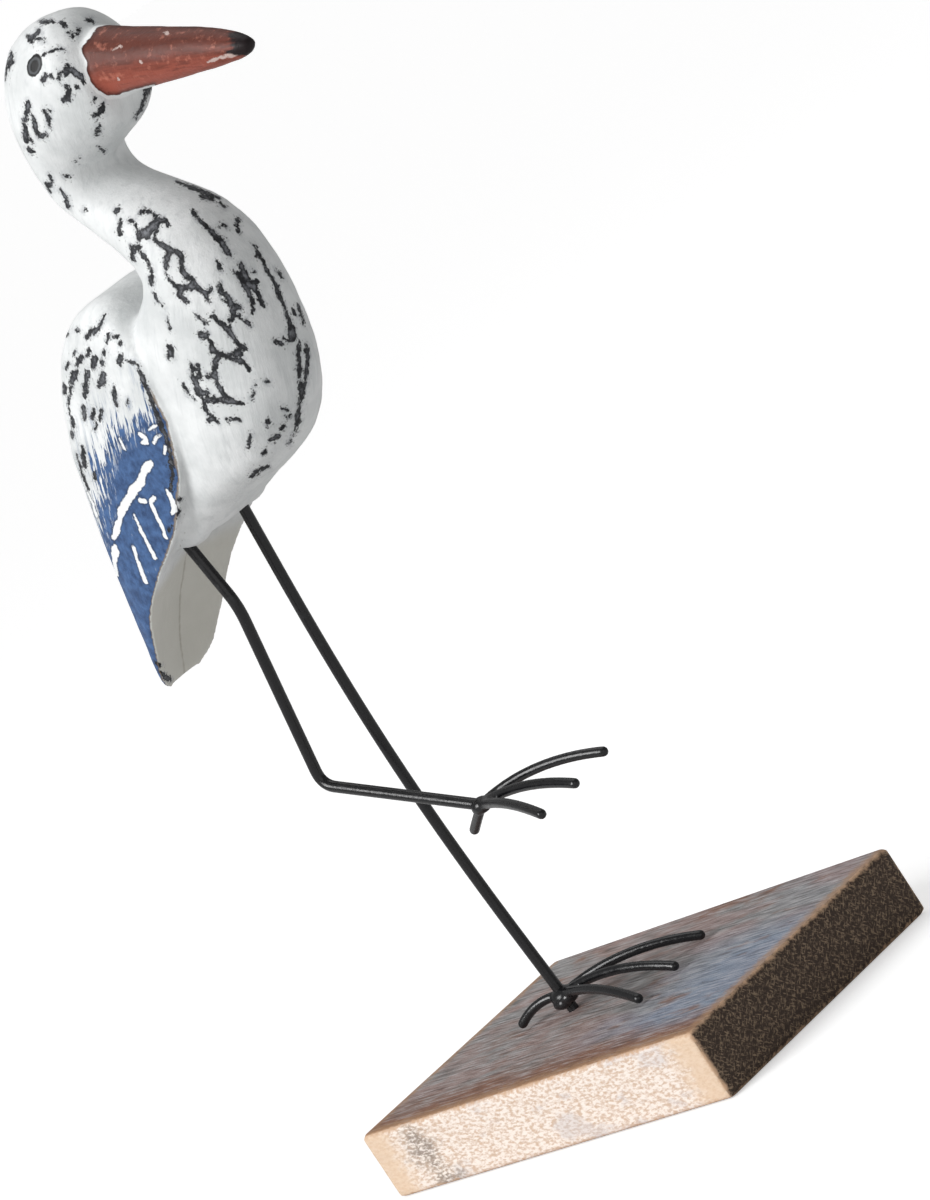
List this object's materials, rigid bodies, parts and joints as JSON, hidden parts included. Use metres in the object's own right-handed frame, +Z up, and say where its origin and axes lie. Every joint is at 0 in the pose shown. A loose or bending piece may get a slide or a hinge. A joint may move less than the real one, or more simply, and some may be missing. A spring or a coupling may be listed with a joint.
{
  "type": "carved bird figurine",
  "caption": "Carved and painted gull striding on bent wire legs with splayed wire toes, standing on a painted wooden block.",
  "frame": {"origin": "middle of the wooden block's underside", "axes": "+X the way the bird faces, along the block; +Y towards the bird's left; +Z up"},
  "size_m": [0.1664, 0.087, 0.3101],
  "materials": {
    "painted_wood": "white paint worn through to a dark undercoat, with blue folded wings and a red beak",
    "block_wood": "rough limewashed paint, worn to pale wood along the edges",
    "black_wire": "gloss black enamel"
  },
  "bodies": {
    "root": {"carved_bird": "painted_wood", "standing_leg": "black_wire", "standing_foot": "black_wire", "raised_leg": "black_wire", "raised_foot": "black_wire", "base_block": "block_wood"}
  },
  "joints": []
}
